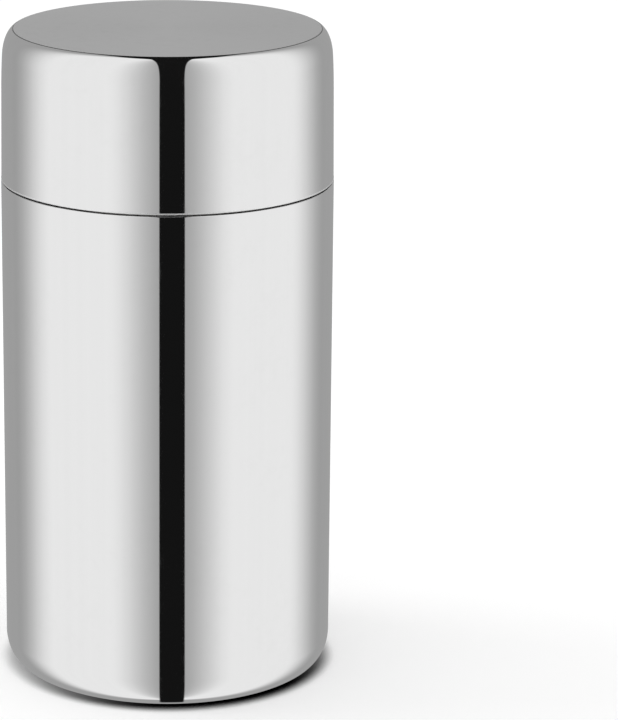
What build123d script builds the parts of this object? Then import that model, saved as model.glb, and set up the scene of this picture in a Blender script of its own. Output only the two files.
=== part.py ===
from build123d import *
import os
from math import acos, asin, cos, degrees, hypot, pi, sin, sqrt

# A double-walled storage canister of drawn sheet metal, with a deep slip lid outside
# and a sealed plug lid with a release valve inside.
# Millimetres. The axis is +Z, and the origin is the centre of the face it stands on.

# Body shell
body_radius = 48.0
shell_height = 145.5
shell_wall = 0.8
shell_edge_rounding = 0.35
base_rounding = 5.8
standing_ring_width = 5.0
base_recess_depth = 1.6
base_recess_slope = 2.0
base_recess_bend = 1.2

# Liner and its collar
jacket_gap = 2.2
weld_gap = 0.05
liner_wall = 0.6
liner_floor_gap = 0.8
liner_base_rounding = 6.0
collar_height = 20.5
collar_clearance = 0.3
collar_groove_rise = 3.0
collar_groove_depth = 0.8
collar_groove_width = 3.6
collar_groove_bend = 0.9

# Friction band in the collar's groove
band_fit = 0.08
band_seat_gap = 0.05
band_side_gap = 0.4
band_rib_radius = 0.6

# Outer lid
seam_gap = 0.3
lid_height = 43.8
lid_wall = 0.7
lid_draft = 0.48
lid_rim_rounding = 0.45
shoulder_height = 7.4
shoulder_run = 3.4
shoulder_full_run = 4.54
crease_rounding = 0.3
cup_wall = 0.5
cup_side_gap = 0.2
cup_top_gap = 0.2
cup_rounding = 8.0
cup_seat_gap = 0.05

# Inner lid pan
pan_wall = 0.8
pan_rest_gap = 0.05
pan_edge_clearance = 0.5
pan_edge_rounding = 0.3
pan_recess_depth = 8.0
pan_floor_bend = 3.0
pan_rim_bend = 1.0

# Plug ring, its gasket and its seal
gasket_thickness = 0.8
gasket_width = 8.0
plug_clearance = 1.0
plug_wall = 3.3
plug_pan_gap = 0.3
plug_head_gap = 1.2
plug_web_thickness = 1.6
plug_web_margin = 2.0
plug_rounding = 1.0
seal_groove_rise = 2.7
seal_groove_width = 4.0
seal_groove_depth = 1.6
seal_seat_gap = 0.05
seal_base_thickness = 1.2
seal_fit = 0.08
seal_lip_thickness = 0.6
seal_lip_slant = 0.8
seal_lip_count = 2

# Bail and its brackets
bail_wire_radius = 1.5
bail_corner_bend = 8.0
bail_pin_bend = 2.2
bail_pin_fit = 0.08
bail_wall_room = 4.9
bail_rest_gap = 0.3
bracket_base_thickness = 1.2
bracket_wall_room = 4.15
bracket_inner_margin = 0.9
bracket_outer_margin = 0.45
bracket_end_margin = 0.25
bracket_corner_rounding = 2.0
lug_gap = 0.3
lug_thickness = 2.4
lug_wall = 1.6
pin_overhang = 0.6

# Bracket screws
screw_radius = 1.4
screw_hole_clearance = 0.2
screw_thread_gap = 0.05
screw_spacing = 13.0
screw_boss_wall = 1.0
screw_boss_roof = 0.9
screw_engagement = 3.4
screw_tip_room = 0.3
screw_head_lap = 1.2
screw_head_height = 1.5
screw_head_rounding = 0.5
screw_slot_width = 0.7
screw_slot_depth = 0.8
screw_slot_margin = 0.7

# Valve seat, its gasket and its nut
barrel_radius = 6.1
barrel_length = 12.6
barrel_hole_gap = 0.2
seat_flange_thickness = 1.6
seat_flange_rounding = 0.5
seat_gasket_thickness = 0.8
seat_gasket_width = 2.3
seat_gasket_margin = 0.4
guide_length = 4.2
chamber_wall = 1.2
stem_radius = 1.5
stem_fit = 0.06
port_count = 6
port_radius = 0.7
port_margin = 0.1
nut_wall = 2.35
nut_thickness = 4.0
nut_bore_gap = 0.05
nut_chamfer = 0.6

# Valve guard and filter screen
screen_thickness = 0.4
screen_side_gap = 0.1
screen_hole_radius = 0.4
screen_hole_pitch = 1.3
screen_ring_count = 3
guard_wall = 1.6
guard_floor_thickness = 1.2
guard_bore_gap = 0.05
guard_nut_gap = 0.3
guard_rounding = 1.0
guard_hole_count = 6
guard_hole_radius = 1.2
guard_hole_margin = 1.35

# Valve stem, disc and knob
disc_lap = 2.2
disc_thickness = 1.2
disc_seat_gap = 0.05
disc_bore_gap = 0.05
stem_collar_width = 1.1
stem_collar_thickness = 0.9
stem_collar_clearance = 0.4
stem_collar_drop = 0.15
stem_tip_room = 0.55
stem_tip_chamfer = 0.3
knob_radius = 9.0
knob_foot_radius = 4.2
knob_foot_height = 1.4
knob_waist_radius = 6.2
knob_waist_height = 1.0
knob_flare_height = 1.4
knob_cap_height = 4.2
knob_rounding = 1.3
knob_dish_depth = 0.5
knob_rim_width = 3.0
knob_roof = 2.4
knob_bore_gap = 0.05
knob_bore_room = 0.2

# Spring, washer and clip
clip_thickness = 0.6
clip_rise = 0.8
clip_groove_depth = 0.4
clip_groove_gap = 0.05
clip_reach = 1.3
clip_mouth = 1.6
washer_thickness = 0.6
washer_side_gap = 1.1
washer_bore_gap = 0.1
spring_wire_radius = 0.3
spring_stem_gap = 0.7
spring_turns = 5
spring_end_gap = 0.05
spans_per_turn = 2

# One overrun serves every cut
overrun = 2.0

# Worked out from the sizes above
liner_outer_radius = body_radius - shell_wall - jacket_gap
liner_inner_radius = liner_outer_radius - liner_wall
liner_floor = base_recess_depth + shell_wall + liner_floor_gap
rim_height = shell_height + collar_height
lid_bottom = shell_height + seam_gap
lid_top = lid_bottom + lid_height
cup_outer_radius = body_radius - lid_draft - lid_wall - cup_side_gap
cup_inner_radius = cup_outer_radius - cup_wall
cup_top = lid_top - lid_wall - cup_top_gap
cup_ceiling = cup_top - cup_wall
rim_bead_radius = (cup_inner_radius - collar_clearance - liner_inner_radius) / 2
groove_floor_bottom = shell_height + collar_groove_rise + collar_groove_depth
plug_radius = liner_inner_radius - plug_clearance
plug_inner_radius = plug_radius - plug_wall
pan_bottom = rim_height + pan_rest_gap
pan_radius = cup_inner_radius - pan_edge_clearance
pan_recess_radius = plug_inner_radius - plug_pan_gap - pan_wall
pan_floor_top = pan_bottom + pan_wall - pan_recess_depth
pan_floor_bottom = pan_floor_top - pan_wall
web_top = pan_floor_bottom - gasket_thickness
web_bottom = web_top - plug_web_thickness
seal_groove_bottom = web_bottom + seal_groove_rise
seal_groove_radius = plug_radius - seal_groove_depth
pivot_height = pan_floor_top + bracket_base_thickness + bail_rest_gap + bail_wire_radius
screw_hole_radius = screw_radius + screw_hole_clearance
screw_head_radius = screw_radius + screw_head_lap
screw_boss_radius = screw_radius + screw_thread_gap + screw_boss_wall
bracket_outer_x = pan_recess_radius - bracket_wall_room
bracket_half_length = screw_spacing / 2 + screw_boss_radius + bracket_end_margin
screw_x = bracket_outer_x - bracket_outer_margin - screw_boss_radius
screw_circle_radius = hypot(screw_x, screw_spacing / 2)
web_inner_radius = screw_circle_radius - screw_head_radius - plug_web_margin
lug_inner_x = screw_x - screw_boss_radius
lug_outer_x = lug_inner_x + lug_thickness
bail_half_width = lug_inner_x - lug_gap - bail_pin_bend
bracket_inner_x = bail_half_width - bail_wire_radius - bracket_inner_margin
bail_corner_x = bail_half_width - bail_corner_bend
bail_corner_circle = pan_recess_radius - bail_wall_room - bail_wire_radius - bail_corner_bend
bail_reach = bail_corner_bend + sqrt(bail_corner_circle**2 - bail_corner_x**2)
seat_flange_bottom = pan_floor_top + seat_gasket_thickness
seat_top = seat_flange_bottom + seat_flange_thickness
barrel_bottom = seat_flange_bottom - barrel_length
chamber_top = seat_top - guide_length
chamber_radius = barrel_radius - chamber_wall
port_circle_radius = chamber_radius - port_margin - port_radius
disc_radius = port_circle_radius + port_radius + disc_lap
pan_hole_radius = barrel_radius + barrel_hole_gap
seat_gasket_radius = pan_hole_radius + seat_gasket_width
seat_flange_radius = seat_gasket_radius + seat_gasket_margin
nut_across_flats = 2 * (barrel_radius + nut_bore_gap + nut_wall)
stem_collar_radius = stem_radius + stem_collar_width
clip_radius = stem_radius + clip_reach
guard_radius = barrel_radius + guard_bore_gap + guard_wall
guard_hole_circle_radius = barrel_radius + guard_bore_gap - guard_hole_margin - guard_hole_radius
guard_top = pan_floor_bottom - nut_thickness - guard_nut_gap
guard_floor_top = barrel_bottom - screen_thickness
guard_bottom = guard_floor_top - guard_floor_thickness
disc_bottom = seat_top + disc_seat_gap
disc_top = disc_bottom + disc_thickness
stem_bottom = barrel_bottom + stem_tip_room
clip_bottom = stem_bottom + clip_rise
washer_bottom = clip_bottom + clip_thickness
washer_radius = chamber_radius - washer_side_gap
spring_bottom = washer_bottom + washer_thickness + spring_end_gap
spring_top = chamber_top - spring_end_gap
spring_mean_radius = stem_radius + spring_stem_gap + spring_wire_radius
foot_top = disc_top + knob_foot_height
waist_top = foot_top + knob_waist_height
cap_bottom = waist_top + knob_flare_height
knob_top = cap_bottom + knob_cap_height
stem_top = knob_top - knob_roof


def revolved(section):
    """Turn a flat section, drawn as radius and height, about the axis."""
    return revolve(Plane.XZ * section, Axis.Z)


def rectangle(left, right, bottom, top):
    """Section with two upright and two level sides, such as a plain ring's."""
    return Pos((left + right) / 2, (bottom + top) / 2) * Rectangle(right - left, top - bottom)


def polygon(*corners):
    """Section with straight sides through the corners given."""
    return make_face(Polyline(*corners, close=True))


def rounded(section, radius, corner):
    """Round the corner of a section that lies nearest to a point."""
    vertex = section.vertices().sort_by_distance(corner)[0]
    return fillet(vertex, radius)


def chamfered(section, length, corner):
    """Bevel the corner of a section that lies nearest to a point."""
    vertex = section.vertices().sort_by_distance(corner)[0]
    return chamfer(vertex, length)


def sheet(wall, corners, bends):
    """Section of bent sheet: its outer line's corners and bends, with the wall to the left."""
    return make_face(offset(FilletPolyline(*corners, radius=bends), wall, side=Side.LEFT))


def around(count, radius):
    """Places evenly spaced on a circle about the axis."""
    return PolarLocations(radius, count)


def drilled(solid, places, radius, bottom, top):
    """Cut upright holes through a solid at the places given."""
    length = top - bottom + 2 * overrun
    middle = Pos(0, 0, (bottom + top) / 2)
    return solid - middle * places * Cylinder(radius, length)


def screw_places():
    """Axes of the four bracket screws."""
    return GridLocations(2 * screw_x, screw_spacing, 2, 2)


def make_outer_shell():
    """Drawn cup with a recessed base and a narrow flange that meets the liner."""
    ring_inner = body_radius - base_rounding - standing_ring_width
    panel_radius = ring_inner - base_recess_slope
    corners = [
        (0, base_recess_depth),
        (panel_radius, base_recess_depth),
        (ring_inner, 0),
        (body_radius, 0),
        (body_radius, shell_height),
    ]
    section = sheet(shell_wall, corners, [base_recess_bend, base_recess_bend, base_rounding])
    flange_inner = liner_outer_radius + weld_gap
    section += rectangle(flange_inner, body_radius, shell_height - shell_wall, shell_height)
    return revolved(rounded(section, shell_edge_rounding, (body_radius, shell_height)))


def make_inner_liner():
    """Drawn vessel whose neck stands above the shell as a collar with a rolled rim."""
    groove_radius = liner_outer_radius - collar_groove_depth
    groove_floor_top = groove_floor_bottom + collar_groove_width
    bead_height = rim_height - rim_bead_radius
    corners = [
        (0, liner_floor),
        (liner_outer_radius, liner_floor),
        (liner_outer_radius, groove_floor_bottom - collar_groove_depth),
        (groove_radius, groove_floor_bottom),
        (groove_radius, groove_floor_top),
        (liner_outer_radius, groove_floor_top + collar_groove_depth),
        (liner_outer_radius, bead_height),
    ]
    bends = [liner_base_rounding] + 4 * [collar_groove_bend]
    section = sheet(liner_wall, corners, bends)
    section += Pos(liner_inner_radius + rim_bead_radius, bead_height) * Circle(rim_bead_radius)
    return revolved(section)


def make_collar_band():
    """Soft band with two ribs, in the collar's groove, that grips the outer lid."""
    outer_radius = cup_inner_radius - band_fit
    inner_radius = liner_outer_radius - collar_groove_depth + band_seat_gap
    bottom = groove_floor_bottom + band_side_gap
    top = groove_floor_bottom + collar_groove_width - band_side_gap
    rib_radius = outer_radius - band_rib_radius
    section = rectangle(inner_radius, rib_radius, bottom, top)
    for height in (bottom + band_rib_radius, top - band_rib_radius):
        section += Pos(rib_radius, height) * Circle(band_rib_radius)
    return revolved(section)


def make_lid_shell():
    """Drawn lid with a drafted wall, an elliptical shoulder and a hem turned in at its rim."""
    crease = acos(1 - shoulder_run / shoulder_full_run)
    full_rise = shoulder_height / sin(crease)
    inner_run = shoulder_full_run - lid_wall
    inner_rise = full_rise - lid_wall
    inner_crease = asin((shoulder_height - lid_wall) / inner_rise)
    middle = (body_radius - lid_draft - shoulder_full_run, lid_top - shoulder_height)
    outer_shoulder = EllipticalCenterArc(middle, shoulder_full_run, full_rise, arc_size=degrees(crease))
    inner_shoulder = EllipticalCenterArc(middle, inner_run, inner_rise, arc_size=degrees(inner_crease))
    hem_top = lid_bottom + lid_wall
    outer_line = Polyline(
        outer_shoulder @ 0,
        (body_radius, lid_bottom),
        (cup_inner_radius, lid_bottom),
        (cup_inner_radius, hem_top),
        (body_radius - lid_wall, hem_top),
        inner_shoulder @ 0,
    )
    top_line = Polyline(inner_shoulder @ 1, (0, lid_top - lid_wall), (0, lid_top), outer_shoulder @ 1)
    section = make_face(outer_line + inner_shoulder + top_line + outer_shoulder)
    section = rounded(section, lid_rim_rounding, (body_radius, lid_bottom))
    return revolved(rounded(section, crease_rounding, outer_shoulder @ 1))


def make_lid_inner_cup():
    """Thin cup inside the lid, held by the hem, that slides over the collar."""
    cup_bottom = lid_bottom + lid_wall + cup_seat_gap
    corners = [(cup_outer_radius, cup_bottom), (cup_outer_radius, cup_top), (0, cup_top)]
    return revolved(sheet(cup_wall, corners, [cup_rounding]))


def make_inner_lid_pan():
    """Pressed pan whose flange rests on the collar's rim."""
    wall_radius = pan_recess_radius + pan_wall
    corners = [
        (pan_hole_radius, pan_floor_bottom),
        (wall_radius, pan_floor_bottom),
        (wall_radius, pan_bottom),
        (pan_radius, pan_bottom),
    ]
    section = sheet(pan_wall, corners, [pan_floor_bend, pan_rim_bend])
    section = rounded(section, pan_edge_rounding, (pan_radius, pan_bottom + pan_wall))
    pan = revolved(section)
    return drilled(pan, screw_places(), screw_hole_radius, pan_floor_bottom, pan_floor_top)


def make_pan_gasket():
    """Flat gasket between the pan's floor and the plug ring."""
    outer_radius = web_inner_radius + gasket_width
    gasket = revolved(rectangle(web_inner_radius, outer_radius, web_top, pan_floor_bottom))
    return drilled(gasket, screw_places(), screw_hole_radius, web_top, pan_floor_bottom)


def make_plug_ring():
    """Moulded ring under the pan that carries the lip seal in a groove."""
    head = pan_bottom - plug_head_gap
    section = rectangle(web_inner_radius, plug_radius, web_bottom, web_top)
    section += rectangle(plug_inner_radius, plug_radius, web_bottom, head)
    section = rounded(section, plug_rounding, (plug_radius, web_bottom))
    groove_top = seal_groove_bottom + seal_groove_width
    groove = rectangle(seal_groove_radius, plug_radius + overrun, seal_groove_bottom, groove_top)
    ring = revolved(section - groove)
    return drilled(ring, screw_places(), screw_hole_radius, web_bottom, web_top)


def make_lip_seal():
    """Soft ring with lips that slant up to the liner's wall."""
    inner_radius = seal_groove_radius + seal_seat_gap
    base_radius = inner_radius + seal_base_thickness
    lip_radius = liner_inner_radius - seal_fit
    bottom = seal_groove_bottom + seal_seat_gap
    top = seal_groove_bottom + seal_groove_width - seal_seat_gap
    section = rectangle(inner_radius, base_radius, bottom, top)
    lip_pitch = (top - bottom - seal_lip_thickness) / seal_lip_count
    for index in range(seal_lip_count):
        root = bottom + seal_lip_thickness / 2 + index * lip_pitch
        tip = root + seal_lip_slant
        section += polygon(
            (inner_radius, root),
            (base_radius, root),
            (lip_radius, tip),
            (lip_radius, tip + seal_lip_thickness / 2),
            (base_radius, root + seal_lip_thickness),
            (inner_radius, root + seal_lip_thickness),
        )
    return revolved(section)


def make_bracket():
    """Moulded bracket on the pan's floor: a base, a lug for the bail's pin and two bosses."""
    length = bracket_outer_x - bracket_inner_x
    middle_x = (bracket_inner_x + bracket_outer_x) / 2
    outline = RectangleRounded(length, 2 * bracket_half_length, bracket_corner_rounding)
    bracket = Pos(middle_x, 0, pan_floor_top) * extrude(outline, bracket_base_thickness)
    lug_radius = bail_wire_radius + bail_pin_fit + lug_wall
    lug = rectangle(-lug_radius, lug_radius, pan_floor_top, pivot_height)
    lug += Pos(0, pivot_height) * Circle(lug_radius)
    lug &= rectangle(-lug_radius, lug_radius, pan_floor_top, pivot_height + lug_radius)
    bracket += Pos(lug_inner_x, 0, 0) * extrude(Plane.YZ * lug, lug_thickness)
    hole_top = pan_floor_top + screw_engagement + screw_tip_room
    boss_top = hole_top + screw_boss_roof
    hole_radius = screw_radius + screw_thread_gap
    for side in (-1, 1):
        boss = Pos(screw_x, side * screw_spacing / 2)
        bracket += boss * revolved(rectangle(0, screw_boss_radius, pan_floor_top, boss_top))
        bracket -= boss * revolved(rectangle(0, hole_radius, pan_floor_top - overrun, hole_top))
    pin_hole = Cylinder(bail_wire_radius + bail_pin_fit, lug_thickness + 2 * overrun)
    lug_middle = (lug_inner_x + lug_outer_x) / 2
    return bracket - Pos(lug_middle, 0, pivot_height) * Rot(0, 90, 0) * pin_hole


def make_bracket_screw():
    """Cross-slot screw, head down, that holds the plug ring, gasket and pan to a bracket."""
    head_bottom = web_bottom - screw_head_height
    tip = pan_floor_top + screw_engagement
    section = rectangle(0, screw_head_radius, head_bottom, web_bottom)
    section = rounded(section, screw_head_rounding, (screw_head_radius, head_bottom))
    section += rectangle(0, screw_radius, head_bottom, tip)
    screw = revolved(section)
    slot_length = 2 * (screw_head_radius - screw_slot_margin)
    slot = Box(slot_length, screw_slot_width, 2 * screw_slot_depth)
    for angle in (0, 90):
        screw -= Pos(0, 0, head_bottom) * Rot(0, 0, angle) * slot
    return screw


def make_bail_handle():
    """Wire bail, folded flat, whose ends turn out into the brackets' lugs."""
    pin_end = lug_outer_x + pin_overhang
    corners = [
        (pin_end, 0, pivot_height),
        (bail_half_width, 0, pivot_height),
        (bail_half_width, bail_reach, pivot_height),
        (-bail_half_width, bail_reach, pivot_height),
        (-bail_half_width, 0, pivot_height),
        (-pin_end, 0, pivot_height),
    ]
    bends = [bail_pin_bend, bail_corner_bend, bail_corner_bend, bail_pin_bend]
    line = FilletPolyline(*corners, radius=bends)
    return sweep(Plane(line @ 0, z_dir=line % 0) * Circle(bail_wire_radius), path=line)


def make_valve_seat():
    """Flanged bush through the pan: stem guide and air ports above, spring chamber below."""
    recess_radius = stem_collar_radius + stem_collar_clearance
    recess_floor = disc_bottom - stem_collar_thickness - stem_collar_drop
    section = rectangle(0, seat_flange_radius, seat_flange_bottom, seat_top)
    section = rounded(section, seat_flange_rounding, (seat_flange_radius, seat_top))
    section += rectangle(0, barrel_radius, barrel_bottom, seat_top)
    section -= rectangle(0, chamber_radius, barrel_bottom - overrun, chamber_top)
    section -= rectangle(0, stem_radius + stem_fit, barrel_bottom, seat_top + overrun)
    section -= rectangle(0, recess_radius, recess_floor, seat_top + overrun)
    ports = around(port_count, port_circle_radius)
    return drilled(revolved(section), ports, port_radius, chamber_top, seat_top)


def make_seat_gasket():
    """Gasket under the seat's flange."""
    return revolved(rectangle(pan_hole_radius, seat_gasket_radius, pan_floor_top, seat_flange_bottom))


def make_seat_nut():
    """Hexagon nut that clamps the seat from below the pan."""
    flats = RegularPolygon(nut_across_flats / 2, 6, major_radius=False)
    bottom = pan_floor_bottom - nut_thickness
    nut = Pos(0, 0, bottom) * extrude(flats, nut_thickness)
    corner_radius = nut_across_flats / sqrt(3)
    cone = rectangle(0, corner_radius, bottom, pan_floor_bottom)
    nut &= revolved(chamfered(cone, nut_chamfer, (corner_radius, bottom)))
    return nut - revolved(rectangle(0, barrel_radius + nut_bore_gap, bottom - overrun, web_top + overrun))


def make_valve_guard():
    """Cap on the barrel's lower end, with holes, that holds the filter screen."""
    section = rectangle(0, guard_radius, guard_bottom, guard_top)
    section = rounded(section, guard_rounding, (guard_radius, guard_bottom))
    section -= rectangle(0, barrel_radius + guard_bore_gap, guard_floor_top, guard_top + overrun)
    guard = revolved(section)
    holes = around(guard_hole_count, guard_hole_circle_radius)
    guard = drilled(guard, holes, guard_hole_radius, guard_bottom, guard_floor_top)
    return drilled(guard, Locations((0, 0)), guard_hole_radius, guard_bottom, guard_floor_top)


def make_filter_screen():
    """Perforated disc that keeps the contents out of the valve."""
    screen = revolved(rectangle(0, barrel_radius - screen_side_gap, guard_floor_top, barrel_bottom))
    screen = drilled(screen, Locations((0, 0)), screen_hole_radius, guard_floor_top, barrel_bottom)
    for ring in range(1, screen_ring_count + 1):
        holes = around(6 * ring, ring * screen_hole_pitch)
        screen = drilled(screen, holes, screen_hole_radius, guard_floor_top, barrel_bottom)
    return screen


def make_valve_disc():
    """Soft disc over the seat's ports."""
    return revolved(rectangle(stem_radius + disc_bore_gap, disc_radius, disc_bottom, disc_top))


def make_valve_stem():
    """Stem with a collar under the disc and a groove for the clip at its foot."""
    groove_bottom = clip_bottom - clip_groove_gap
    groove_top = washer_bottom + clip_groove_gap
    groove_radius = stem_radius - clip_groove_depth
    section = rectangle(0, stem_radius, stem_bottom, stem_top)
    section = chamfered(section, stem_tip_chamfer, (stem_radius, stem_bottom))
    section = chamfered(section, stem_tip_chamfer, (stem_radius, stem_top))
    section += rectangle(0, stem_collar_radius, disc_bottom - stem_collar_thickness, disc_bottom)
    section -= rectangle(groove_radius, stem_radius + overrun, groove_bottom, groove_top)
    return revolved(section)


def make_valve_knob():
    """Pull knob with a narrow foot on the disc, a finger waist and a dished cap."""
    section = polygon(
        (0, disc_top),
        (knob_foot_radius, disc_top),
        (knob_foot_radius, foot_top),
        (knob_waist_radius, foot_top),
        (knob_waist_radius, waist_top),
        (knob_radius, cap_bottom),
        (knob_radius, knob_top),
        (knob_radius - knob_rim_width, knob_top),
        (0, knob_top - knob_dish_depth),
    )
    section = rounded(section, knob_rounding, (knob_radius, knob_top))
    section = rounded(section, knob_rounding, (knob_radius, cap_bottom))
    bore_top = stem_top + knob_bore_room
    section -= rectangle(0, stem_radius + knob_bore_gap, disc_top - overrun, bore_top)
    return revolved(section)


def make_spring_washer():
    """Plain washer that the spring pushes down on."""
    bore = stem_radius + washer_bore_gap
    return revolved(rectangle(bore, washer_radius, washer_bottom, washer_bottom + washer_thickness))


def make_stem_clip():
    """Open clip in the stem's groove, under the washer."""
    bore = stem_radius - clip_groove_depth + clip_groove_gap
    clip = revolved(rectangle(bore, clip_radius, clip_bottom, washer_bottom))
    mouth = Box(clip_radius, clip_mouth, 2 * clip_thickness)
    return clip - Pos(clip_radius / 2 + bore / 2, 0, clip_bottom) * mouth


def helix_point(turn, bottom, pitch):
    """Point on the spring's centre line, and its direction, after a number of turns."""
    angle = 2 * pi * turn
    point = Vector(spring_mean_radius * cos(angle), spring_mean_radius * sin(angle), bottom + pitch * turn)
    direction = Vector(-sin(angle), cos(angle), pitch / (2 * pi * spring_mean_radius))
    return point, direction.normalized()


def biarc(start, start_direction, end, end_direction):
    """Two arcs, tangent to each other, from one point and direction to another."""
    chord = end - start
    turned = 2 * (1 - start_direction.dot(end_direction))
    along = chord.dot(start_direction + end_direction)
    reach = (sqrt(along * along + turned * chord.dot(chord)) - along) / turned
    first = start + start_direction * reach
    second = end - end_direction * reach
    joint = (first + second) / 2
    arc = Edge.make_tangent_arc(start, start_direction, joint)
    return arc, Edge.make_tangent_arc(joint, second - first, end)


def make_valve_spring():
    """Coil spring round the stem, from the washer up to the guide."""
    bottom = spring_bottom + spring_wire_radius
    top = spring_top - spring_wire_radius
    pitch = (top - bottom) / spring_turns
    arcs = []
    for span in range(spring_turns * spans_per_turn):
        start, start_direction = helix_point(span / spans_per_turn, bottom, pitch)
        end, end_direction = helix_point((span + 1) / spans_per_turn, bottom, pitch)
        arcs.extend(biarc(start, start_direction, end, end_direction))
    line = Wire(arcs)
    print("least gap between the spring's turns", round(pitch - 2 * spring_wire_radius, 2), "mm")
    return sweep(Plane(line @ 0, z_dir=line % 0) * Circle(spring_wire_radius), path=line)


def make_pieces():
    """Every separate piece, by name, in the place it has on the closed canister."""
    bracket = make_bracket()
    screw = make_bracket_screw()
    return {
        "outer_shell": make_outer_shell(),
        "inner_liner": make_inner_liner(),
        "collar_band": make_collar_band(),
        "lid_shell": make_lid_shell(),
        "lid_inner_cup": make_lid_inner_cup(),
        "inner_lid_pan": make_inner_lid_pan(),
        "pan_gasket": make_pan_gasket(),
        "plug_ring": make_plug_ring(),
        "lip_seal": make_lip_seal(),
        "bail_bracket_right": bracket,
        "bail_bracket_left": mirror(bracket, Plane.YZ),
        "bracket_screws": Compound(children=[place * screw for place in screw_places()]),
        "bail_handle": make_bail_handle(),
        "valve_seat": make_valve_seat(),
        "seat_gasket": make_seat_gasket(),
        "seat_nut": make_seat_nut(),
        "valve_guard": make_valve_guard(),
        "filter_screen": make_filter_screen(),
        "valve_disc": make_valve_disc(),
        "valve_stem": make_valve_stem(),
        "valve_knob": make_valve_knob(),
        "spring_washer": make_spring_washer(),
        "stem_clip": make_stem_clip(),
        "valve_spring": make_valve_spring(),
    }


os.makedirs("parts", exist_ok=True)
for name, piece in make_pieces().items():
    export_step(piece, f"parts/{name}.step")
print("bail reach", round(bail_reach, 2), "mm, collar rim", round(rim_height, 2), "mm")
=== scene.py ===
"""Dressed model of a polished double-lid vacuum canister: its pieces, finishes, studio and camera."""
import logging
import math
from dataclasses import dataclass
from enum import Enum
from typing import Any, Callable, Sequence

import bpy
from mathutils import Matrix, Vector


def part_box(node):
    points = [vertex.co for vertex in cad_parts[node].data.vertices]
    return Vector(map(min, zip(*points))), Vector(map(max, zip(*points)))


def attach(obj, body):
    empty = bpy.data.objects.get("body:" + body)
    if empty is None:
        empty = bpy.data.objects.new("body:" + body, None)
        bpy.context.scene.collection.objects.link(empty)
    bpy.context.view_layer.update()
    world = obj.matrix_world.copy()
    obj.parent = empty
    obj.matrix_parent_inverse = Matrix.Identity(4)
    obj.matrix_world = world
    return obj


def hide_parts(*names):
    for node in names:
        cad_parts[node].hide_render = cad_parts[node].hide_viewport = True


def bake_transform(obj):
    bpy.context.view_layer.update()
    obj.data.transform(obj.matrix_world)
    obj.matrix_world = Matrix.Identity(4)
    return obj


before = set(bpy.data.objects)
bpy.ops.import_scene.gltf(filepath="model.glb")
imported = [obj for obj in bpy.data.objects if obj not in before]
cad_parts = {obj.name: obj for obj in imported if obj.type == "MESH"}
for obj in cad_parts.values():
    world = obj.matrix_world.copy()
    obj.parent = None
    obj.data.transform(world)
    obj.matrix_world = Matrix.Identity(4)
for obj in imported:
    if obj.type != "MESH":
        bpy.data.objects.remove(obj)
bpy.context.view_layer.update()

MM = 0.001
LOG = logging.getLogger("canister")

WHITE = (1.0, 1.0, 1.0, 1.0)
MIDDLE = 0.5              # middle of a height or a noise that runs from 0 to 1
FULL_TURN = 2 * math.pi
BEVEL_RAYS = 4
AROUND = 320              # steps round the axis of each lathed piece
SUPPORT_MARGIN = 0.12 * MM
SUPPORT_REACH = 4         # stretches longer than this many margins get supports
ON_AXIS = 1e-7            # radius under which a lathed point is one vertex
SHARP_DEGREES = 38.0      # edges that turn by more than this stay sharp
# A Mix node's inputs by number, since their names repeat: the share, then the two values.
MIX_COLOURS = (0, 6, 7)
MIX_NUMBERS = (0, 2, 3)

Point = tuple[float, float]
Colour = tuple[float, float, float]
Socket = bpy.types.NodeSocket


class Body(Enum):
    """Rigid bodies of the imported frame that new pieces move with."""

    CANISTER = "canister"
    OUTER_LID = "outer_lid"
    INNER_LID = "inner_lid"
    VALVE = "valve"


class Slot(Enum):
    """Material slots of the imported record."""

    POLISHED = "polished_steel"
    SATIN = "satin_steel"
    TURNED = "turned_steel"
    SILICONE = "seal_silicone"
    PLASTIC = "moulded_plastic"


class Touch(Enum):
    """Finishes that only some faces of a piece have; the crease line is painted shade and the rim's brighter
    steel is partly a painted highlight.
    """

    RUBBED_RIM_HIGHLIGHT = "rubbed_rim_painted_highlight"
    PAINTED_CREASE_SHADE = "painted_shade_crease_line"
    TOP = "spun_satin_top"


@dataclass(frozen=True)
class Band:
    """Two values between which something sets in: nothing of it at start, all of it at full."""

    start: float
    full: float


@dataclass(frozen=True)
class Octaves:
    """Layers of a noise texture, and how strong the finer ones are."""

    count: float = 2.0
    finer: float = 0.5


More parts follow.
